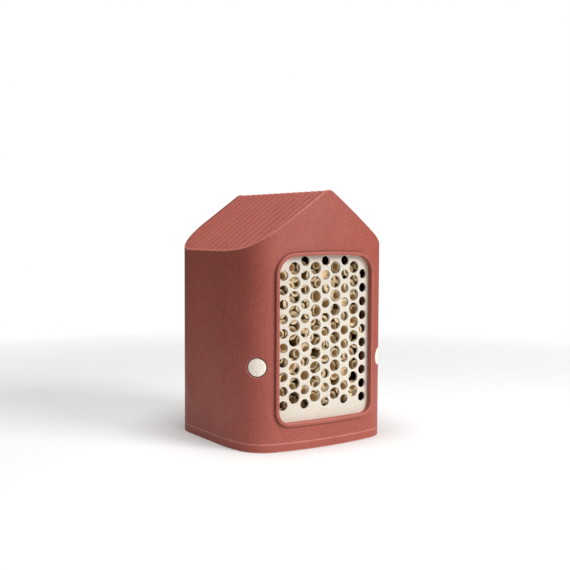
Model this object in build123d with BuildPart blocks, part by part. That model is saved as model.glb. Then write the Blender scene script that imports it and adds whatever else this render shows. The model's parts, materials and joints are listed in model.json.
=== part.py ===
from build123d import *
import math
import os
from random import Random

# Insect hotel: a moulded house with a ribbed gable roof and a round-holed grille in front.
# The house stands on a tray that holds a stack of bamboo tubes. Two round buttons in the
# front corners push the tray's latch fingers aside, and the house then lifts off.
# Millimetres, +Z up, front towards -Y, origin at the middle of the footprint on the ground.
os.makedirs("parts", exist_ok=True)

# ---- driving dimensions: the house ----
half_width = 90.0
body_depth = 172.0
wall = 2.6
sharp_apex = 262.0
roof_slope = 0.712
apex_radius = 9.0
front_radius = 345.0
front_turn = 10.0
corner_radius = 33.0
corner_turn = 68.0
back_corner_radius = 42.0
rim_round = 0.9
skirt_height = 8.0

# ---- driving dimensions: the roof ----
lip_width = 1.8
lip_height = 0.4
rib_count = 15
rib_depth = 0.75
rib_groove = 1.6
roof_thickness = 4.0

# ---- driving dimensions: the window and its grille ----
window_half_width = 57.8
window_bottom = 28.0
window_shoulder = 192.0
window_crown = 194.4
window_top_corner = 18.0
window_bottom_corner = 12.0
bead_width = 3.5
bead_height = 3.0
bead_outer_round = 0.9
bead_inner_round = 0.6
grille_recess = 5.2
grille_radius = 520.0
grille_thickness = 2.4
grille_half_width = 61.4
grille_bottom = 20.0
grille_top = 203.0
grille_corner = 16.0
grille_gap = 0.15
grille_round = 0.5
clip_width = 12.0
clip_heights = (50.0, 112.0, 172.0)
clip_reach = 1.6
clip_thickness = 1.8
clip_root_half = 70.0

# ---- driving dimensions: the grille's holes ----
hole_pitch = 14.4
big_hole_radius = 6.25
small_hole_radius = 4.95
top_big_row = 181.5
big_rows = 10
inner_small_rows = 11
edge_small_rows = 10

# ---- driving dimensions: buttons and latches, as depths behind the wall's outer face ----
button_height = 84.6
button_turn = 44.0
button_radius = 9.0
button_hole_radius = 9.9
button_hole_round = 1.0
button_sink = 0.4
button_round = 0.8
seat_depth = 5.0
flange_radius = 10.8
flange_thickness = 1.4
housing_radius = 12.8
housing_bore = 11.2
housing_inset = 0.6
housing_end = 14.4
retainer_radius = 11.15
retainer_front = 12.4
retainer_back = 14.2
stem_radius = 4.0
stem_clearance = 0.08
stem_end = 15.6
spring_radius = 5.6
spring_wire = 0.8
spring_pitch = 1.6
finger_face = 15.95
finger_thickness = 1.8
finger_width = 14.0
finger_bottom = 16.1
finger_top = 104.0
hook_bottom = 99.4
hook_face = 14.8
foot_height = 16.0

# ---- driving dimensions: the tray and its tubes ----
floor_thickness = 3.0
band_width = 5.1
rim_gap = 0.5
rim_height = 16.0
chamber_half_width = 53.0
chamber_wall = 2.0
chamber_front = 40.0
chamber_height = 190.0
chamber_back = 160.0
stop_front = 8.2
stop_thickness = 1.6
stop_height = 14.0
drain_radius = 2.5
drain_spacing = 44.0

tube_front = 10.5
tube_depth_spread = 9.0
tube_radii = (4.9, 8.6)
tube_bores = (0.42, 0.8)
tube_top = 189.5
tube_misses = 30
tube_gap = 0.12
tube_layers = 14
tube_stack_seed = 11
tube_bore_seed = 5
node_depths = (2.5, 42.0)
node_thickness = 3.0

# ---- driving dimensions: the wall hanger ----
keyhole_height = 168.0
keyhole_radius = 5.0
keyhole_slot_radius = 2.4
keyhole_slot = 12.0

# ---- places worked out from them ----
wall_front = bead_height - (body_depth + bead_height) / 2
wall_back = wall_front + body_depth
grille_front = wall_front + grille_recess
corner_end = front_turn + corner_turn
slope_length = math.hypot(1, roof_slope)
beyond = 300.0
roof_rise = 0.5
wall_rise = 0.1


def corner_point(turn):
    """The point of the round front corner whose outward normal is turned this far from the front."""
    before = math.radians(front_turn)
    here = math.radians(turn)
    x = front_radius * math.sin(before) + corner_radius * (math.sin(here) - math.sin(before))
    y = front_radius * (1 - math.cos(before)) + corner_radius * (math.cos(before) - math.cos(here))
    return x, wall_front + y


side_radius = (half_width - corner_point(corner_end)[0]) / (1 - math.sin(math.radians(corner_end)))


def outline(height, inset=0.0):
    """The house's plan at a height: bowed front, round corners, nearly straight sides, flat back."""
    with BuildSketch(Plane.XY.offset(height)) as plan:
        with BuildLine():
            bow = JernArc((0, wall_front), (1, 0), front_radius, front_turn)
            corner = JernArc(bow @ 1, bow % 1, corner_radius, corner_turn)
            side = JernArc(corner @ 1, corner % 1, side_radius, 90 - corner_end)
            Polyline(side @ 1, (half_width, wall_back), (0, wall_back))
            mirror(about=Plane.YZ)
        make_face()
        back_ends = plan.vertices().group_by(Axis.Y)[-1]
        fillet(back_ends.filter_by(lambda v: abs(v.X) > half_width / 2), back_corner_radius)
        if inset:
            offset(amount=-inset, mode=Mode.REPLACE)
    return plan.sketch


def gable(drop, ridge_radius):
    """The region under both roof slopes, lowered by drop at right angles to them."""
    apex = sharp_apex - drop * slope_length
    eave = apex - roof_slope * beyond
    with BuildSketch(Plane.XZ) as front_view:
        with BuildLine():
            FilletPolyline((-beyond, eave), (0, apex), (beyond, eave), radius=ridge_radius)
            Polyline((beyond, eave), (beyond, -beyond), (-beyond, -beyond), (-beyond, eave))
        make_face()
    return front_view.sketch


def bow_fall(radius, half):
    """How far an arc of this radius falls back at a half chord."""
    return radius - math.sqrt(radius**2 - half**2)


def bowed_strip(front, front_bow, back, back_bow):
    """A strip in plan between two arcs that bulge towards the front."""
    half = half_width
    with BuildSketch() as plan:
        with BuildLine():
            front_end = front + bow_fall(front_bow, half)
            back_end = back + bow_fall(back_bow, half)
            fore = ThreePointArc((-half, front_end), (0, front), (half, front_end))
            aft = ThreePointArc((-half, back_end), (0, back), (half, back_end))
            Line(fore @ 0, aft @ 0)
            Line(fore @ 1, aft @ 1)
        make_face()
    return plan.sketch


def window(grow=0.0):
    """The window's outline in the front view, with a slightly arched head."""
    left = -window_half_width
    right = window_half_width
    with BuildSketch(Plane.XZ) as front_view:
        with BuildLine():
            ThreePointArc((left, window_shoulder), (0, window_crown), (right, window_shoulder))
            Polyline(
                (right, window_shoulder),
                (right, window_bottom),
                (left, window_bottom),
                (left, window_shoulder),
            )
        make_face()
        fillet(front_view.vertices().group_by(Axis.Y)[-1], window_top_corner)
        fillet(front_view.vertices().group_by(Axis.Y)[0], window_bottom_corner)
        if grow:
            offset(amount=grow, mode=Mode.REPLACE)
    return front_view.sketch


def rise_of(face):
    """How much a face's normal points up: 1 for a floor, 0 for a wall."""
    return face.normal_at(face.center()).Z


def button_frame(side):
    """The plane of a button: origin on the wall's outer face, normal outward, x axis up."""
    x, y = corner_point(button_turn)
    turn = math.radians(button_turn)
    normal = (side * math.sin(turn), -math.cos(turn), 0)
    return Plane(origin=(side * x, y, button_height), x_dir=(0, 0, 1), z_dir=normal)


def lattice(columns, radius, first_row, rows):
    """Hole centres of a grille column and its mirror image, as (x, z, radius)."""
    column_pitch = hole_pitch * math.sqrt(3) / 2
    return [
        (side * column * column_pitch, first_row - row * hole_pitch, radius)
        for column in columns
        for side in ((-1, 1) if column else (1,))
        for row in range(rows)
    ]


def settle(radius, placed):
    """The lowest resting place for one more tube of this radius on those already stacked."""
    reach = chamber_half_width - radius
    ground = floor_thickness + radius
    spots = [(-reach, ground), (reach, ground)]
    for x, z, r in placed:
        gap = radius + r
        for side_x in (-reach, reach):
            if abs(side_x - x) < gap:
                spots.append((side_x, z + math.sqrt(gap**2 - (side_x - x) ** 2)))
        if abs(ground - z) < gap:
            slide = math.sqrt(gap**2 - (ground - z) ** 2)
            spots += [(x - slide, ground), (x + slide, ground)]
    for index, (x1, z1, r1) in enumerate(placed):
        for x2, z2, r2 in placed[index + 1 :]:
            across = math.hypot(x2 - x1, z2 - z1)
            a = radius + r1
            b = radius + r2
            if across < a + b:
                along = (a**2 - b**2 + across**2) / (2 * across)
                up = math.sqrt(max(a**2 - along**2, 0))
                ux = (x2 - x1) / across
                uz = (z2 - z1) / across
                foot_x = x1 + ux * along
                foot_z = z1 + uz * along
                lift = 1 if ux > 0 else -1
                spots.append((foot_x - lift * uz * up, foot_z + lift * ux * up))
    touch = 1e-6
    free = [
        (z, x)
        for x, z in spots
        if abs(x) <= reach + touch
        and z >= ground - touch
        and all(math.hypot(x - px, z - pz) >= radius + pr - touch for px, pz, pr in placed)
    ]
    z, x = min(free)
    return x, z


def stack_tubes():
    """A settled stack of tubes of mixed sizes, as (x, z, outer radius), from the floor up."""
    draw = Random(tube_stack_seed)
    placed = []
    misses = 0
    while misses < tube_misses:
        radius = draw.uniform(*tube_radii)
        x, z = settle(radius, placed)
        if z + radius > tube_top:
            misses += 1
        else:
            placed.append((x, z, radius))
    return placed


# ---- roof corrugation: the space above the ribs, inside the smooth lip along the roof's edge ----
crest_apex = sharp_apex - lip_height * slope_length
crest_eave = crest_apex - roof_slope * (half_width + wall)
rib_pitch = body_depth / rib_count
with BuildPart() as rib_space:
    with BuildLine(Plane.XZ) as crest_line:
        FilletPolyline(
            (-half_width - wall, crest_eave),
            (0, crest_apex),
            (half_width + wall, crest_eave),
            radius=apex_radius - lip_height,
        )
    rib_start = Plane(origin=crest_line.line @ 0, x_dir=(0, 1, 0), z_dir=crest_line.line % 0)
    with BuildSketch(rib_start):
        with BuildLine():
            for rib in range(rib_count):
                near = wall_front + rib * rib_pitch + rib_groove / 2
                far = near + rib_pitch - rib_groove
                ThreePointArc((near, -rib_depth), ((near + far) / 2, 0), (far, -rib_depth))
                Line((far, -rib_depth), (far + rib_groove, -rib_depth))
            first = wall_front + rib_groove / 2
            last = wall_back + rib_groove / 2
            Polyline((last, -rib_depth), (last, half_width), (first, half_width), (first, -rib_depth))
        make_face()
    sweep(path=crest_line.line)
    extrude(outline(0, lip_width), amount=beyond, mode=Mode.INTERSECT)

# ---- window frame: a bead in front of the wall and a reveal back to the grille ----
with BuildPart() as window_frame:
    with BuildSketch(Plane.XZ):
        add(window(bead_width))
        add(window(), mode=Mode.SUBTRACT)
    extrude(amount=beyond, both=True)
    reach = bowed_strip(
        wall_front - bead_height, front_radius + bead_height, grille_front - grille_gap, grille_radius
    )
    extrude(reach, amount=beyond, mode=Mode.INTERSECT)
    bead_face = window_frame.faces().sort_by(Axis.Y)[0]
    fillet(bead_face.outer_wire().edges(), bead_outer_round)
    bead_face = window_frame.faces().sort_by(Axis.Y)[0]
    fillet(bead_face.inner_wires()[0].edges(), bead_inner_round)

# ---- the hollow inside the house ----
with BuildPart() as hollow:
    extrude(outline(0, wall), amount=beyond)
    extrude(gable(roof_thickness, apex_radius), amount=beyond, both=True, mode=Mode.INTERSECT)

# ---- button housings: a boss on the wall for each button, with a bore open to the inside ----
housings = []
for side in (-1, 1):
    frame = button_frame(side)
    with BuildPart() as housing:
        with BuildSketch(frame):
            Circle(housing_radius)
        extrude(amount=-housing_end)
        extrude(outline(0, housing_inset), amount=beyond, mode=Mode.INTERSECT)
    housings.append(housing.part)

# ---- grille clips: hooks on the wall that reach behind the grille's side edges ----
clip_back = grille_front + grille_thickness + bow_fall(grille_radius, grille_half_width) + grille_gap
clips = []
for side in (-1, 1):
    clip_tip = side * (grille_half_width - clip_reach)
    clip_side = side * (grille_half_width + 2 * grille_gap)
    clip_root = side * half_width
    with BuildPart() as side_clips:
        for height in clip_heights:
            with BuildSketch(Plane.XY.offset(height)):
                with BuildLine():
                    Polyline(
                        (clip_tip, clip_back),
                        (clip_side, clip_back),
                        (clip_side, wall_front),
                        (clip_root, wall_front),
                        (clip_root, clip_back + clip_thickness),
                        (clip_tip, clip_back + clip_thickness),
                        close=True,
                    )
                make_face()
            extrude(amount=clip_width / 2, both=True)
        extrude(outline(0, housing_inset), amount=beyond, mode=Mode.INTERSECT)
        with BuildSketch():
            Rectangle(2 * clip_root_half, beyond)
        extrude(amount=beyond, mode=Mode.INTERSECT)
    clips.append(side_clips.part)

# ---- shell ----
with BuildPart() as shell:
    extrude(outline(skirt_height), amount=beyond)
    extrude(gable(0, apex_radius), amount=beyond, both=True, mode=Mode.INTERSECT)
    roof_edges = shell.faces().filter_by(lambda face: rise_of(face) > roof_rise).edges()
    wall_edges = shell.faces().filter_by(lambda face: abs(rise_of(face)) < wall_rise).edges()
    fillet([edge for edge in roof_edges if edge in wall_edges], rim_round)
    add(rib_space.part, mode=Mode.SUBTRACT)
    add(hollow.part, mode=Mode.SUBTRACT)
    add(window_frame.part)
    with BuildSketch(Plane.XZ):
        add(window())
    extrude(amount=beyond, mode=Mode.SUBTRACT)
    add(housings)
    add(clips)
    for side in (-1, 1):
        frame = button_frame(side)
        with BuildSketch(frame.offset(half_width)):
            Circle(button_hole_radius)
        extrude(amount=-half_width - housing_end, mode=Mode.SUBTRACT)
        hole_mouth = [
            edge
            for edge in shell.edges().filter_by(GeomType.BSPLINE)
            if abs((edge @ 0.5 - frame.origin).length - button_hole_radius) < wall / 2
        ]
        fillet(hole_mouth, button_hole_round)
        with BuildSketch(frame.offset(-seat_depth)):
            Circle(housing_bore)
        extrude(amount=seat_depth - housing_end, mode=Mode.SUBTRACT)
    with BuildSketch(Plane.XZ.offset(-wall_back)):
        with Locations((0, keyhole_height)):
            Circle(keyhole_radius)
        with Locations((0, keyhole_height + keyhole_slot / 2)):
            SlotCenterToCenter(keyhole_slot, 2 * keyhole_slot_radius, rotation=90)
    extrude(amount=2 * wall, both=True, mode=Mode.SUBTRACT)

shell.part.label = "shell"
export_step(shell.part, "parts/shell.step")

# ---- grille: a bowed plate with alternating columns of large and small holes ----
last_big_row = top_big_row - (big_rows - 1) * hole_pitch
holes = lattice((1, 3), big_hole_radius, top_big_row, big_rows)
holes += lattice((0, 2), small_hole_radius, top_big_row + hole_pitch / 2, inner_small_rows)
holes += lattice((4,), small_hole_radius, top_big_row - hole_pitch / 2, edge_small_rows)
with BuildPart() as grille:
    with BuildSketch(Plane.XZ) as grille_front_view:
        with Locations((0, (grille_bottom + grille_top) / 2)):
            RectangleRounded(2 * grille_half_width, grille_top - grille_bottom, grille_corner)
        for x, z, radius in holes:
            with Locations((x, z)):
                Circle(radius, mode=Mode.SUBTRACT)
    extrude(amount=beyond, both=True)
    grille_plan = bowed_strip(
        grille_front, grille_radius, grille_front + grille_thickness, grille_radius - grille_thickness
    )
    extrude(grille_plan, amount=beyond, mode=Mode.INTERSECT)
    fillet(grille.faces().sort_by(Axis.Y)[0].edges(), grille_round)

grille.part.label = "grille"
export_step(grille.part, "parts/grille.step")

# ---- buttons, their springs, the retainers behind them, and the tray's latch fingers ----
for side, name in ((-1, "left"), (1, "right")):
    frame = button_frame(side)
    axis = Axis(frame.origin, frame.z_dir)
    section = Plane(origin=frame.origin, x_dir=(0, 0, 1), z_dir=Vector(0, 0, 1).cross(frame.z_dir))

    with BuildPart() as button:
        with BuildSketch(section):
            with BuildLine():
                Polyline(
                    (0, button_radius),
                    (button_radius, button_radius),
                    (button_radius, -seat_depth),
                    (flange_radius, -seat_depth),
                    (flange_radius, -seat_depth - flange_thickness),
                    (stem_radius, -seat_depth - flange_thickness),
                    (stem_radius, -stem_end),
                    (0, -stem_end),
                    close=True,
                )
            make_face()
        revolve(axis=axis)
        extrude(outline(0, button_sink), amount=beyond, mode=Mode.INTERSECT)
        fillet(button.faces().sort_by(axis)[-1].edges(), button_round)
    button.part.label = f"button_{name}"
    export_step(button.part, f"parts/button_{name}.step")

    with BuildPart() as retainer:
        with BuildSketch(frame.offset(-retainer_back)):
            Circle(retainer_radius)
            Circle(stem_radius + stem_clearance, mode=Mode.SUBTRACT)
        extrude(amount=retainer_back - retainer_front)
    retainer.part.label = f"button_retainer_{name}"
    export_step(retainer.part, f"parts/button_retainer_{name}.step")

    spring_front = seat_depth + flange_thickness + spring_wire / 2
    spring_back = retainer_front - spring_wire / 2
    with BuildPart() as spring:
        with BuildLine() as coil:
            Helix(
                pitch=spring_pitch,
                height=spring_back - spring_front,
                radius=spring_radius,
                center=frame.offset(-spring_back).origin,
                direction=frame.z_dir,
            )
        with BuildSketch(Plane(origin=coil.line @ 0, z_dir=coil.line % 0)):
            Circle(spring_wire / 2)
        sweep(path=coil.line, is_frenet=True)
    spring.part.label = f"button_spring_{name}"
    export_step(spring.part, f"parts/button_spring_{name}.step")

    with BuildPart() as finger:
        finger_side = frame.z_dir.cross(Vector(0, 0, 1))
        finger_edge = Plane(origin=frame.origin, x_dir=-frame.z_dir, z_dir=finger_side)
        with BuildSketch(finger_edge):
            with BuildLine():
                back = finger_face + finger_thickness
                low = finger_bottom - button_height
                high = finger_top - button_height
                hook = hook_bottom - button_height
                Polyline(
                    (finger_face, low),
                    (back, low),
                    (back, high),
                    (finger_face, high),
                    (hook_face, hook + finger_thickness),
                    (hook_face, hook),
                    (finger_face, hook),
                    close=True,
                )
            make_face()
        extrude(amount=finger_width / 2, both=True)
    finger.part.label = f"latch_finger_{name}"
    export_step(finger.part, f"parts/latch_finger_{name}.step")

# ---- tray: base band, floor, locating rim, tube chamber and the latch fingers' feet ----
with BuildPart() as tray:
    extrude(outline(0), amount=skirt_height)
    extrude(outline(0, wall + rim_gap), amount=rim_height)
    extrude(outline(floor_thickness, band_width), amount=beyond, mode=Mode.SUBTRACT)
    side_wall_x = chamber_half_width + chamber_wall / 2
    side_wall_y = wall_front + (chamber_front + chamber_back) / 2
    back_wall_y = wall_front + chamber_back + chamber_wall / 2
    stop_y = wall_front + stop_front + stop_thickness / 2
    with BuildSketch(Plane.XY.offset(floor_thickness)):
        with Locations((-side_wall_x, side_wall_y), (side_wall_x, side_wall_y)):
            Rectangle(chamber_wall, chamber_back - chamber_front)
        with Locations((0, back_wall_y)):
            Rectangle(2 * (chamber_half_width + chamber_wall), chamber_wall)
    extrude(amount=chamber_height - floor_thickness)
    with BuildSketch(Plane.XY.offset(floor_thickness)):
        with Locations((0, stop_y)):
            Rectangle(2 * chamber_half_width, stop_thickness)
    extrude(amount=stop_height - floor_thickness)
    for side in (-1, 1):
        frame = button_frame(side)
        foot_origin = frame.origin - Vector(0, 0, button_height - floor_thickness)
        with BuildSketch(Plane(origin=foot_origin, x_dir=frame.z_dir)):
            with Locations((-finger_face - finger_thickness / 2, 0)):
                Rectangle(finger_thickness, finger_width)
        extrude(amount=foot_height - floor_thickness)
    with BuildSketch():
        with GridLocations(drain_spacing, drain_spacing, 2, 3):
            Circle(drain_radius)
    extrude(amount=floor_thickness, mode=Mode.SUBTRACT)

tray.part.label = "tray"
export_step(tray.part, "parts/tray.step")

# ---- bamboo tubes: each is open at both ends, with the cane's own node closing it inside ----
draw = Random(tube_bore_seed)
layer_height = (tube_top - floor_thickness) / tube_layers
layers = [[] for _ in range(tube_layers)]
for x, z, radius in stack_tubes():
    layer = min(int((z - floor_thickness) / layer_height), tube_layers - 1)
    layers[layer].append((x, z, radius))

for index, tubes in enumerate(layers, start=1):
    with BuildPart() as layer:
        for x, z, radius in tubes:
            outer = radius - tube_gap / 2
            bore = radius * draw.uniform(*tube_bores)
            front = wall_front + tube_front + draw.uniform(0, tube_depth_spread)
            node = front + draw.uniform(*node_depths)
            back = wall_front + chamber_back - tube_gap
            with BuildSketch(Plane.XZ.offset(-front)):
                with Locations((x, z)):
                    Circle(outer)
            extrude(amount=front - back)
            with BuildSketch(Plane.XZ.offset(-front)):
                with Locations((x, z)):
                    Circle(bore)
            extrude(amount=front - node, mode=Mode.SUBTRACT)
            with BuildSketch(Plane.XZ.offset(-back)):
                with Locations((x, z)):
                    Circle(bore)
            extrude(amount=back - node - node_thickness, mode=Mode.SUBTRACT)
    layer.part.label = f"bamboo_layer_{index:02d}"
    export_step(layer.part, f"parts/bamboo_layer_{index:02d}.step")
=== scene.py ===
"""Looks of the insect hotel: plastics, bamboo canes, button springs, floor, light and camera.

Lengths are in metres. The scale of a noise or a cell pattern is in waves or cells per metre.
"""
import json
import math
import random

import bpy
import numpy as np
from mathutils import Matrix, Vector


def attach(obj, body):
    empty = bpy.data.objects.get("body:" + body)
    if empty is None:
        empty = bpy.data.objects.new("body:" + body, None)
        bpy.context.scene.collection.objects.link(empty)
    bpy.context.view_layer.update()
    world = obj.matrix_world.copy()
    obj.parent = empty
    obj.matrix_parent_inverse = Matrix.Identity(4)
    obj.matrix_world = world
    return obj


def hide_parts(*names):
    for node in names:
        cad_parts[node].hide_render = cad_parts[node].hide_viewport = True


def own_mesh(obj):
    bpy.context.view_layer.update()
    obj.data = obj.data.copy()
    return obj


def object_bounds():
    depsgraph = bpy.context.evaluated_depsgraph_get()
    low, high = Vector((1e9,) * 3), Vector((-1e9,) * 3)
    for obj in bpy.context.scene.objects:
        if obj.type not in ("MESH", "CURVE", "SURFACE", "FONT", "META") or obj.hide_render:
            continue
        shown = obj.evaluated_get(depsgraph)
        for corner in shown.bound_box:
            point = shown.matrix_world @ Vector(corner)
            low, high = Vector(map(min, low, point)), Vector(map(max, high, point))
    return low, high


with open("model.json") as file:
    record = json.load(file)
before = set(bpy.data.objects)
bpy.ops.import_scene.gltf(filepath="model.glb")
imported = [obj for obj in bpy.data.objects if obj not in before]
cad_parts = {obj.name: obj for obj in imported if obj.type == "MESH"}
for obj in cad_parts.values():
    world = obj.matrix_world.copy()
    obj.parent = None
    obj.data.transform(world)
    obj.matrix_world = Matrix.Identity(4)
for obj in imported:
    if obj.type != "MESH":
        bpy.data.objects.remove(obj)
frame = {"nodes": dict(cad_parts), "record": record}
cad_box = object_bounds()
nodes = frame["nodes"]
scene = bpy.context.scene

# ---------------------------------------------------------------- material helpers

# The share of open space around a point: at the first nothing is near it, at the second it is enclosed.
OPEN_FLAT = 0.97
OPEN_ENCLOSED = 0.55
NEARNESS_RAYS = 8
GRAIN_CORE = 0.55
GRAIN_BLUR = 0.02


class Shader:
    """A material's node tree. add() makes a node and fills its inputs with values or sockets."""

    def __init__(self, name):
        self.material = bpy.data.materials.new(name)
        self.material.use_nodes = True
        self.tree = self.material.node_tree
        self.tree.nodes.clear()
        self.out = self.tree.nodes.new("ShaderNodeOutputMaterial")
        self.coords = self.add("ShaderNodeTexCoord").outputs["Object"]

    def fill(self, socket, value):
        """Links another node's socket to this socket, or sets this socket to a constant."""
        if isinstance(value, bpy.types.NodeSocket):
            self.tree.links.new(value, socket)
        else:
            socket.default_value = value

    def add(self, kind, inputs=None, **settings):
        node = self.tree.nodes.new(kind)
        for key, value in settings.items():
            setattr(node, key, value)
        for key, value in (inputs or {}).items():
            self.fill(node.inputs[key], value)
        return node

    def stretched(self, scales):
        """The object's coordinates, scaled by axis."""
        return self.add("ShaderNodeMapping", {"Vector": self.coords, "Scale": scales}).outputs[0]

    def noise(self, scale, detail=2.0, rough=0.5, vector=None):
        node = self.add(
            "ShaderNodeTexNoise",
            {"Vector": vector or self.coords, "Scale": scale, "Detail": detail, "Roughness": rough},
        )
        return node.outputs["Fac"]

    def streaks(self, scales, detail, rough):
        """Noise with a scale of its own along each axis."""
        return self.noise(1.0, detail, rough, self.stretched(scales))

    def remap(self, value, low, high, to_low=0.0, to_high=1.0):
        node = self.add(
            "ShaderNodeMapRange",
            {"Value": value, "From Min": low, "From Max": high, "To Min": to_low, "To Max": to_high},
        )
        return node.outputs["Result"]

    def product(self, a, b):
        return self.add("ShaderNodeMath", {0: a, 1: b}, operation="MULTIPLY").outputs[0]

    def mix(self, factor, a, b, blend="MIX"):
        """Color a where the factor is 0, and b, or the blend of the two, where it is 1."""
        node = self.add("ShaderNodeMix", data_type="RGBA", blend_type=blend)
        self.fill(node.inputs[0], factor)
        self.fill(node.inputs[6], a)
        self.fill(node.inputs[7], b)
        return node.outputs[2]

    def cells(self, scale, vector=None):
        return self.add("ShaderNodeTexVoronoi", {"Vector": vector or self.coords, "Scale": scale}).outputs

    def attribute(self, name):
        return self.add("ShaderNodeAttribute", attribute_name=name).outputs["Fac"]

    def grey(self, value):
        return self.add("ShaderNodeCombineColor", {0: value, 1: value, 2: value}).outputs[0]

    def nearness(self, distance, inside):
        """How much of the object's own surface lies within a distance, on one side: 0 for a flat face."""
        space = self.add(
            "ShaderNodeAmbientOcclusion",
            {"Distance": distance},
            inside=inside,
            only_local=True,
            samples=NEARNESS_RAYS,
        )
        return self.remap(space.outputs["AO"], OPEN_FLAT, OPEN_ENCLOSED)

    def specks(self, scale, size, share):
        """Scattered grains: 1 inside a grain. share of the cells hold one, of this size in cells."""
        cells = self.cells(scale)
        grain = self.remap(cells["Distance"], size, size * GRAIN_CORE)
        lot = self.add("ShaderNodeSeparateColor", {"Color": cells["Color"]})
        held = self.remap(lot.outputs[0], share, share - GRAIN_BLUR)
        return self.product(grain, held)

    def bump(self, height, depth, strength=1.0, normal=None):
        inputs = {"Height": height, "Distance": depth, "Strength": strength}
        if normal is not None:
            inputs["Normal"] = normal
        return self.add("ShaderNodeBump", inputs).outputs["Normal"]

    def finish(self, color, roughness, normal, **constants):
        """Closes the tree. A constant's name is the input's, with _ for each space."""
        inputs = {"Base Color": color, "Roughness": roughness, "Normal": normal}
        inputs.update({key.replace("_", " "): value for key, value in constants.items()})
        surface = self.add("ShaderNodeBsdfPrincipled", inputs)
        self.tree.links.new(surface.outputs[0], self.out.inputs["Surface"])
        return self.material


def rgb(red, green, blue):
    return (red, green, blue, 1.0)


# ---------------------------------------------------------------- plastics

# How far from a convex edge the pale edge colour reaches: edge wear and a painted edge highlight.
WORN_AND_HIGHLIT_EDGE = 0.0012
# Painted shade in corners and creases: how far it reaches, and at most how much of its colour it lays on.
CORNER_SHADE_REACH = 0.0022
CORNER_SHADE_SHARE = 0.75


def moulded_plastic(name, base, deep, pale_grain, dark_grain, edge, corner_shade_color, mottle, roughness):
    """Matte recycled plastic: mottled and speckled, with wear and a painted highlight along its edges and
    painted shade in its corners.
    """
    shader = Shader(name)
    clouds = shader.noise(scale=22.0, detail=3.0)
    fine = shader.noise(scale=620.0, detail=3.0, rough=0.65)
    pale_dust = shader.specks(scale=820.0, size=0.34, share=0.34)
    dark_dust = shader.specks(scale=700.0, size=0.36, share=0.34)
    crumbs = shader.specks(scale=420.0, size=0.16, share=0.10)
    patches = shader.remap(shader.noise(scale=140.0, detail=3.0), 0.3, 0.6, to_low=0.55, to_high=0.9)
    # Pale along convex edges: partly edge wear, partly a painted highlight where a rounded edge would
    # catch the light.
    wear_and_highlight = shader.product(shader.nearness(WORN_AND_HIGHLIT_EDGE, inside=True), patches)
    # Painted shade: darker where the object's own surface closes round a point, in corners, creases and
    # grooves.
    corner_shade = shader.product(shader.nearness(CORNER_SHADE_REACH, inside=False), CORNER_SHADE_SHARE)

    color = shader.mix(shader.remap(clouds, 0.35, 0.65), base, deep)
    shade = shader.remap(fine, 0.32, 0.68, to_low=1.0 - mottle, to_high=1.0 + mottle)
    color = shader.mix(1.0, color, shader.grey(shade), "MULTIPLY")
    color = shader.mix(pale_dust, color, pale_grain)
    color = shader.mix(dark_dust, color, dark_grain)
    color = shader.mix(crumbs, color, pale_grain)
    color = shader.mix(wear_and_highlight, color, edge)
    color = shader.mix(corner_shade, color, corner_shade_color)

    pebbles = shader.cells(scale=900.0)["Distance"]
    normal = shader.bump(fine, depth=0.00012, strength=0.7)
    normal = shader.bump(pebbles, depth=0.00006, strength=0.5, normal=normal)
    rubbed = shader.noise(scale=60.0, detail=4.0, rough=0.6)
    sheen = shader.remap(rubbed, 0.3, 0.7, to_low=roughness - 0.06, to_high=roughness + 0.08)
    return shader.finish(color, sheen, normal, Specular_IOR_Level=0.38)


brick = moulded_plastic(
    "brick_plastic",
    base=rgb(0.345, 0.079, 0.056),
    deep=rgb(0.320, 0.071, 0.050),
    pale_grain=rgb(0.470, 0.155, 0.118),
    dark_grain=rgb(0.210, 0.043, 0.031),
    edge=rgb(0.560, 0.235, 0.185),
    corner_shade_color=rgb(0.110, 0.022, 0.016),
    mottle=0.12,
    roughness=0.52,
)
cream = moulded_plastic(
    "cream_plastic",
    base=rgb(0.640, 0.590, 0.510),
    deep=rgb(0.620, 0.570, 0.488),
    pale_grain=rgb(0.720, 0.680, 0.610),
    dark_grain=rgb(0.470, 0.400, 0.310),
    edge=rgb(0.760, 0.720, 0.650),
    corner_shade_color=rgb(0.300, 0.250, 0.190),
    mottle=0.022,
    roughness=0.50,
)
button_cream = moulded_plastic(
    "button_cream",
    base=rgb(0.900, 0.830, 0.735),
    deep=rgb(0.880, 0.805, 0.705),
    pale_grain=rgb(0.960, 0.925, 0.860),
    dark_grain=rgb(0.620, 0.530, 0.420),
    edge=rgb(0.980, 0.960, 0.910),
    corner_shade_color=rgb(0.400, 0.340, 0.270),
    mottle=0.03,
    roughness=0.45,
)

# ---------------------------------------------------------------- bamboo and wire

# A cane lies along the y axis. Its points carry a tone, which runs from 0 to 1 from cane to cane, and
# a depth, which is 0 at the sawn front and 1 where the painted shade on the cane is at its darkest.


def cane_skin():
    """The smooth outside of a dried cane, streaked along its length, with painted shade darkening it
    behind the front.
    """
    shader = Shader("cane_skin")
    streaks = shader.streaks((700.0, 18.0, 700.0), detail=4.0, rough=0.6)
    stains = shader.noise(scale=90.0, detail=3.0)
    color = shader.mix(shader.attribute("tone"), rgb(0.56, 0.38, 0.16), rgb(0.74, 0.56, 0.29))
    color = shader.mix(shader.remap(streaks, 0.45, 0.75, to_high=0.7), color, rgb(0.30, 0.19, 0.09))
    color = shader.mix(shader.remap(stains, 0.55, 0.72, to_high=0.45), color, rgb(0.22, 0.14, 0.08))
    # Painted shade: the skin darkens behind the sawn front, so that the gaps between the canes read as
    # dark.
    color = shader.mix(shader.product(shader.attribute("depth"), 0.62), color, rgb(0.085, 0.050, 0.024))
    normal = shader.bump(streaks, depth=0.00015, strength=0.6)
    return shader.finish(color, shader.remap(streaks, 0.3, 0.7, to_low=0.38, to_high=0.6), normal)


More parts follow.
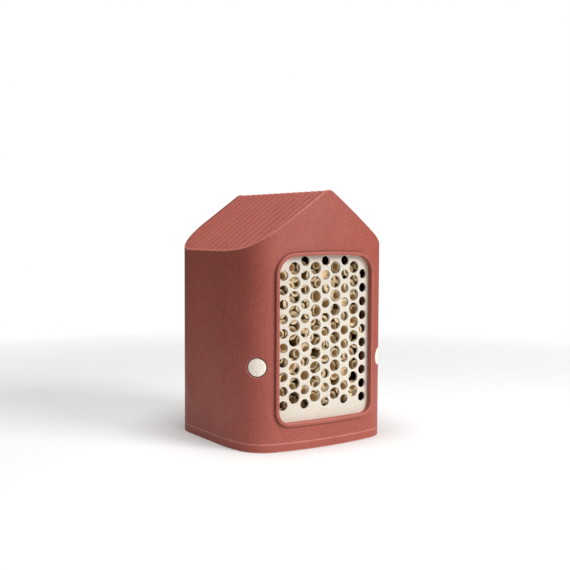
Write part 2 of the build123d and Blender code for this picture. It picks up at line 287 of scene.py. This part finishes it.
def cane_end():
    """The sawn wall of a cane: pale wood with the darker dots of its fibre bundles."""
    shader = Shader("cane_end")
    fibres = shader.cells(scale=2300.0, vector=shader.stretched((1.0, 0.15, 1.0)))
    dots = shader.remap(fibres["Distance"], 0.42, 0.22)
    saw = shader.streaks((260.0, 260.0, 2600.0), detail=3.0, rough=0.6)
    color = shader.mix(shader.attribute("tone"), rgb(0.80, 0.60, 0.36), rgb(0.95, 0.79, 0.53))
    color = shader.mix(shader.product(dots, 0.55), color, rgb(0.36, 0.22, 0.10))
    color = shader.mix(shader.remap(saw, 0.5, 0.8, to_high=0.35), color, rgb(0.97, 0.84, 0.60))
    normal = shader.bump(saw, depth=0.0002, strength=0.8)
    normal = shader.bump(dots, depth=-0.00012, strength=0.6, normal=normal)
    return shader.finish(color, shader.remap(saw, 0.2, 0.8, to_low=0.7, to_high=0.9), normal)


def cane_bore():
    """The papery inside of a cane, streaked and flaking, with painted shade that darkens it further in."""
    shader = Shader("cane_bore")
    streaks = shader.streaks((900.0, 40.0, 900.0), detail=4.0, rough=0.65)
    flakes = shader.noise(scale=420.0, detail=4.0, rough=0.6)
    color = shader.mix(shader.attribute("tone"), rgb(0.86, 0.64, 0.38), rgb(0.97, 0.76, 0.48))
    color = shader.mix(shader.remap(streaks, 0.42, 0.7, to_high=0.45), color, rgb(0.58, 0.41, 0.22))
    color = shader.mix(shader.remap(flakes, 0.52, 0.7, to_high=0.35), color, rgb(0.95, 0.76, 0.50))
    # Painted shade: the bore darkens further in, where less light reaches.
    color = shader.mix(shader.product(shader.attribute("depth"), 0.35), color, rgb(0.26, 0.17, 0.09))
    normal = shader.bump(streaks, depth=0.0002, strength=0.7)
    normal = shader.bump(flakes, depth=0.00015, strength=0.6, normal=normal)
    return shader.finish(color, shader.remap(flakes, 0.3, 0.7, to_low=0.75, to_high=0.92), normal)


def drawn_wire():
    """Spring wire: bright steel with faint die lines and a few dull spots."""
    shader = Shader("drawn_wire")
    lines = shader.streaks((200.0, 200.0, 3000.0), detail=3.0, rough=0.6)
    dull = shader.remap(shader.noise(scale=500.0, detail=3.0), 0.5, 0.75)
    color = shader.mix(dull, rgb(0.60, 0.60, 0.61), rgb(0.36, 0.34, 0.32))
    shine = shader.remap(lines, 0.3, 0.7, to_low=0.22, to_high=0.42)
    return shader.finish(color, shine, shader.bump(lines, depth=0.00002), Metallic=1.0)


wire = drawn_wire()
cane_materials = (cane_skin(), cane_end(), cane_bore())
SKIN, END, BORE = range(3)

FINISHES = {
    "brick_plastic": brick,
    "cream_plastic": cream,
    "spring_steel": wire,
    "bamboo": cane_materials[END],
}
for part in frame["record"]["subparts"]:
    node = nodes[part["node"]]
    node.data.materials.clear()
    node.data.materials.append(FINISHES[part["material_slot"]])
for side in ("left", "right"):
    nodes["button_" + side].data.materials[0] = button_cream

# ---------------------------------------------------------------- mesh helpers


def ring_faces(low, around):
    """The faces between a ring of points, which starts at point low, and the ring after it."""
    pairs = [(step, (step + 1) % around) for step in range(around)]
    return [(low + step, low + after, low + after + around, low + step + around) for step, after in pairs]


def add_object(name, data):
    added = bpy.data.objects.new(name, data)
    scene.collection.objects.link(added)
    return added


# ---------------------------------------------------------------- canes as the CAD has them

WELD_DIGITS = 6
AT_FRONT = 1e-5
BEHIND_FRONT = 1e-4
INNER_SHARE = 0.9


def canes_of(node):
    """The separate canes of a CAD layer: middle (x, z), radius, bore, front, node face and back."""
    mesh = node.data
    points = np.array([vertex.co for vertex in mesh.vertices])
    rounded = [tuple(point) for point in np.round(points, WELD_DIGITS)]
    keys = {}
    same = [keys.setdefault(point, index) for index, point in enumerate(rounded)]
    parent = list(range(len(points)))

    def root(index):
        while parent[index] != index:
            parent[index] = parent[parent[index]]
            index = parent[index]
        return index

    for polygon in mesh.polygons:
        first = root(same[polygon.vertices[0]])
        for index in polygon.vertices[1:]:
            parent[root(same[index])] = first
    groups = {}
    for index in range(len(points)):
        groups.setdefault(root(same[index]), []).append(index)
    canes = []
    for members in sorted(groups.values()):
        part = points[members]
        low = part.min(axis=0)
        high = part.max(axis=0)
        middle = (low + high) / 2
        radius = (high[0] - low[0]) / 2
        away = np.hypot(part[:, 0] - middle[0], part[:, 2] - middle[2])
        bore = away[part[:, 1] < low[1] + AT_FRONT].min()
        inner = part[(away < radius * INNER_SHARE) & (part[:, 1] > low[1] + BEHIND_FRONT)]
        canes.append((middle[0], middle[2], radius, bore, low[1], inner[:, 1].min(), high[1]))
    return canes


# ---------------------------------------------------------------- profile of a cane

# A station is a ring of points round the cane: its radius, its y, and its material, which is also
# that of the strip between it and the station before.

RIM = 0.00035
SWELL = 0.00028
CUT_DISH = 0.00004
# The rounded rims, in shares of RIM: how far in from the wall's side, how far behind the front.
SKIN_RIM = ((0.0, 1.0, SKIN), (0.3, 0.3, SKIN), (1.0, 0.0, END))
BORE_RIM = ((0.6, 0.0, END), (0.15, 0.25, BORE), (0.0, 1.0, BORE))
# The ridge round a node: how far behind the ridge's middle, and the share of SWELL.
NODE_RIDGE = (
    (0.0035, 0.0),
    (0.0018, 0.5),
    (0.0006, 1.0),
    (-0.0002, -0.6),
    (-0.0012, 0.2),
    (-0.0040, 0.0),
)
RIDGE_SETBACK = 1.02
STRAIGHT_BY = 0.0030
BACK_OPENING = 0.55
BORE_STEPS = 7
BORE_TAPER = 0.05
BORE_REACH = 0.96
# The wall that closes the bore at a node: its edge, then radius and hollow in shares of the bore.
NODE_EDGE = 0.84
NODE_EDGE_GAP = 0.0001
NODE_HOLLOW = ((0.55, 0.10), (0.25, 0.16))


def cane_profile(radius, bore, front, septum, back):
    """Stations of a cane from its back end over the skin and round the sawn rim into the bore."""
    ridge = front + (septum - front) * RIDGE_SETBACK
    body = radius - SWELL
    stations = [
        (bore * BACK_OPENING, back, BORE),
        (bore, back, END),
        (body - RIM, back, END),
        (body, back - RIM, SKIN),
        (body, (back + ridge) / 2, SKIN),
    ]
    stations += [(body + SWELL * share, ridge + behind, SKIN) for behind, share in NODE_RIDGE]
    stations.append((body, front + STRAIGHT_BY, SKIN))
    stations += [(body - RIM * into, front + RIM * behind, kind) for into, behind, kind in SKIN_RIM]
    stations.append((body - (radius - bore) / 2, front + CUT_DISH, END))
    stations += [(bore + RIM * into, front + RIM * behind, kind) for into, behind, kind in BORE_RIM]
    deep = (septum - front - RIM) * BORE_REACH
    for step in range(1, BORE_STEPS + 1):
        share = step / BORE_STEPS
        stations.append((bore * (1.0 - BORE_TAPER * share), front + RIM + deep * share, BORE))
    stations.append((bore * NODE_EDGE, septum + NODE_EDGE_GAP, BORE))
    stations += [(bore * reach, septum + bore * hollow, BORE) for reach, hollow in NODE_HOLLOW]
    return stations


# ---------------------------------------------------------------- bamboo canes

AROUND = 44
# Waves round a cane and round its bore: (waves in a turn, largest height as a share of the radius).
OVAL = ((2, 0.016), (3, 0.010), (5, 0.004))
HOLLOW = ((1, 0.05), (2, 0.05), (3, 0.03), (7, 0.012))
BORE_MARGIN = 0.05
# How far behind the front the painted shade on the skin, the sawn end and the bore is at its darkest.
DARK_BY = (0.010, 1.0, 0.05)
# Stations nearer to the front than CUT_ZONE follow the saw cut, which slants by up to STEEPEST_CUT.
CUT_ZONE = 0.0006
STEEPEST_CUT = 0.05
CHIP = 0.00008
draw = random.Random(2024)


def held(value):
    """The value, kept between 0 and 1."""
    return min(max(value, 0.0), 1.0)


def ripples(sizes):
    """Random waves round a cane: (waves in a turn, height, phase) for each (waves, largest height)."""
    return [(waves, draw.uniform(0.2, 1.0) * size, draw.uniform(0, math.tau)) for waves, size in sizes]


def rippled(waves, angle):
    return sum(height * math.cos(count * angle + phase) for count, height, phase in waves)


class CaneMesh:
    """The points, faces and point attributes of a layer of canes."""

    def __init__(self):
        self.points = []
        self.faces = []
        self.kinds = []
        self.tones = []
        self.depths = []

    def add(self, x, z, radius, bore, front, septum, back):
        """Lathes one uneven cane: oval, wavy, cut a little askew, with a bore of its own shape."""
        oval = ripples(OVAL)
        hollow = ripples(HOLLOW)
        slant = draw.uniform(0.0, STEEPEST_CUT)
        slant_turn = draw.uniform(0, math.tau)
        chips = [draw.uniform(-CHIP, CHIP) for _ in range(AROUND)]
        tone = draw.random()
        start = len(self.points)
        stations = cane_profile(radius, bore, front, septum, back)
        margin = sum(height for _, height, _ in oval)
        for r, y, kind in stations:
            blend = held((r - bore) / (radius - bore))
            for step in range(AROUND):
                angle = math.tau * step / AROUND
                skin = 1.0 - margin + rippled(oval, angle)
                inner = 1.0 - BORE_MARGIN + rippled(hollow, angle)
                reach = r * (inner * (1 - blend) + skin * blend)
                along = y
                if y < front + CUT_ZONE:
                    along += CUT_ZONE + slant * (radius + r * math.cos(angle - slant_turn)) + chips[step]
                self.points.append((x + reach * math.cos(angle), along, z + reach * math.sin(angle)))
                self.tones.append(tone)
                self.depths.append(held((y - front) / DARK_BY[kind]))
        for rank, (_, _, kind) in enumerate(stations[1:]):
            self.faces += ring_faces(start + rank * AROUND, AROUND)
            self.kinds += [kind] * AROUND
        last = start + (len(stations) - 1) * AROUND
        self.faces.append(tuple(last + step for step in range(AROUND)))
        self.faces.append(tuple(start + step for step in reversed(range(AROUND))))
        self.kinds += [BORE, BORE]

    def build(self, name):
        mesh = bpy.data.meshes.new(name)
        mesh.from_pydata(self.points, [], self.faces)
        for material in cane_materials:
            mesh.materials.append(material)
        mesh.polygons.foreach_set("material_index", self.kinds)
        mesh.attributes.new("tone", "FLOAT", "POINT").data.foreach_set("value", self.tones)
        mesh.attributes.new("depth", "FLOAT", "POINT").data.foreach_set("value", self.depths)
        mesh.update()
        mesh.shade_smooth()
        return add_object(name, mesh)


for name in sorted(node for node in nodes if node.startswith("bamboo_layer")):
    layer = CaneMesh()
    for cane in canes_of(nodes[name]):
        layer.add(*cane)
    canes = layer.build(name.replace("layer", "canes"))
    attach(canes, "tray")
    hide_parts(name)

# ---------------------------------------------------------------- button springs

WIRE_AROUND = 14
COIL_STEPS = 150
COIL_TURNS = 3.25
END_CLOSING = 0.6


def add_spring(side):
    """A wire coil with closed ends, of the CAD spring's size, that rides with the house."""
    name = "button_spring_" + side
    press = f"button_{side}_press"
    joint = next(joint for joint in frame["record"]["behaviour"]["joints"] if joint["name"] == press)
    inward = Vector(joint["axis"]).normalized()
    points = np.array([vertex.co for vertex in nodes[name].data.vertices])
    middle = (points.min(axis=0) + points.max(axis=0)) / 2
    along = (points - middle) @ np.array(inward)
    away = np.linalg.norm(points - middle - np.outer(along, inward), axis=1)
    wire_radius = (away.max() - away.min()) / 2
    coil_radius = away.max() - wire_radius
    length = along.max() - along.min()
    height = length - 2 * wire_radius
    upward = Vector((0.0, 0.0, 1.0))
    sideways = inward.cross(upward)
    wire_points = []
    for step in range(COIL_STEPS + 1):
        share = step / COIL_STEPS
        angle = math.tau * COIL_TURNS * share
        rise = share - END_CLOSING * math.sin(math.tau * share) / math.tau
        radial = sideways * math.cos(angle) + upward * math.sin(angle)
        core = Vector(middle) + inward * height * (rise - 0.5) + radial * coil_radius
        for spot in range(WIRE_AROUND):
            turn = math.tau * spot / WIRE_AROUND
            wire_points.append(core + (radial * math.cos(turn) + inward * math.sin(turn)) * wire_radius)
    last = COIL_STEPS * WIRE_AROUND
    faces = []
    for low in range(0, last, WIRE_AROUND):
        faces += ring_faces(low, WIRE_AROUND)
    faces.append(tuple(reversed(range(WIRE_AROUND))))
    faces.append(tuple(last + spot for spot in range(WIRE_AROUND)))
    mesh = bpy.data.meshes.new("coil_spring_" + side)
    mesh.from_pydata(wire_points, [], faces)
    mesh.materials.append(wire)
    mesh.shade_smooth()
    coil = add_object(mesh.name, mesh)
    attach(coil, "house")
    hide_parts(name)
    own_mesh(coil)


for side in ("left", "right"):
    add_spring(side)

# ---------------------------------------------------------------- floor

FLOOR_RADIUS = 1.1
FLOOR_SIDES = 96
FLOOR_GAP = 0.0002
FADE_FROM = 0.42
FADE_TO = 1.0


def floor_material():
    """Pale paper that fades out with distance, so that the floor has no visible edge."""
    shader = Shader("floor")
    length = shader.add("ShaderNodeVectorMath", {0: shader.coords}, operation="LENGTH").outputs["Value"]
    fade = shader.remap(length, FADE_FROM, FADE_TO)
    tooth = shader.noise(scale=400.0, detail=3.0)
    color = shader.mix(tooth, rgb(0.68, 0.68, 0.675), rgb(0.71, 0.71, 0.705))
    paper = shader.add(
        "ShaderNodeBsdfPrincipled",
        {"Base Color": color, "Roughness": 0.9, "Normal": shader.bump(tooth, depth=0.00005)},
    )
    clear = shader.add("ShaderNodeBsdfTransparent")
    blend = shader.add("ShaderNodeMixShader", {0: fade, 1: paper.outputs[0], 2: clear.outputs[0]})
    shader.tree.links.new(blend.outputs[0], shader.out.inputs["Surface"])
    return shader.material


floor_angles = [math.tau * step / FLOOR_SIDES for step in range(FLOOR_SIDES)]
floor_ring = [(FLOOR_RADIUS * math.cos(turn), FLOOR_RADIUS * math.sin(turn), 0.0) for turn in floor_angles]
floor_mesh = bpy.data.meshes.new("floor")
floor_mesh.from_pydata(floor_ring, [], [tuple(range(FLOOR_SIDES))])
floor_mesh.materials.append(floor_material())
floor = add_object("floor", floor_mesh)
floor.location.z = cad_box[0].z - FLOOR_GAP

# ---------------------------------------------------------------- light

FILL_STRENGTH = 0.12
centre = (cad_box[0] + cad_box[1]) / 2
scene.view_settings.view_transform = "Standard"


def studio_world():
    """A world that the camera sees as white, and that lights the object with a weak warm fill."""
    world = bpy.data.worlds.new("studio")
    world.use_nodes = True
    world.node_tree.nodes.clear()
    add = world.node_tree.nodes.new
    link = world.node_tree.links.new
    seen = add("ShaderNodeBackground")
    seen.inputs["Color"].default_value = rgb(1.0, 1.0, 1.0)
    fill = add("ShaderNodeBackground")
    fill.inputs["Color"].default_value = rgb(1.0, 0.98, 0.96)
    fill.inputs["Strength"].default_value = FILL_STRENGTH
    ray = add("ShaderNodeLightPath")
    choice = add("ShaderNodeMixShader")
    world_out = add("ShaderNodeOutputWorld")
    link(ray.outputs["Is Camera Ray"], choice.inputs[0])
    link(fill.outputs[0], choice.inputs[1])
    link(seen.outputs[0], choice.inputs[2])
    link(choice.outputs[0], world_out.inputs["Surface"])
    return world


def softbox(name, place, size, power):
    """A square area light that faces the middle of the object."""
    light = bpy.data.lights.new(name, "AREA")
    light.size = size
    light.energy = power
    lamp = add_object(name, light)
    lamp.location = place
    lamp.rotation_euler = (centre - Vector(place)).to_track_quat("-Z", "Y").to_euler()


scene.world = studio_world()
softbox("key", place=(0.95, -1.85, 1.25), size=1.0, power=46.0)
softbox("top", place=(-0.1, -0.1, 1.85), size=1.1, power=37.0)
softbox("front", place=(0.1, -2.2, 0.7), size=1.0, power=8.0)

# ---------------------------------------------------------------- camera

EYE = Vector((-0.538, -0.800, 0.2175))
YAW = math.radians(34.1)
PITCH = math.radians(3.42)
ROLL = math.radians(0.27)
LENS = 56.05
SENSOR = 36.0

forward = Vector((math.sin(YAW) * math.cos(PITCH), math.cos(YAW) * math.cos(PITCH), -math.sin(PITCH)))
level = Vector((math.cos(YAW), -math.sin(YAW), 0.0))
upright = level.cross(forward)
across = level * math.cos(ROLL) + upright * math.sin(ROLL)
above = upright * math.cos(ROLL) - level * math.sin(ROLL)
camera_data = bpy.data.cameras.new("camera")
camera_data.lens = LENS
camera_data.sensor_width = SENSOR
camera = add_object("camera", camera_data)
turned = Matrix((across, above, -forward)).transposed().to_4x4()
camera.matrix_world = Matrix.Translation(EYE) @ turned
scene.camera = camera
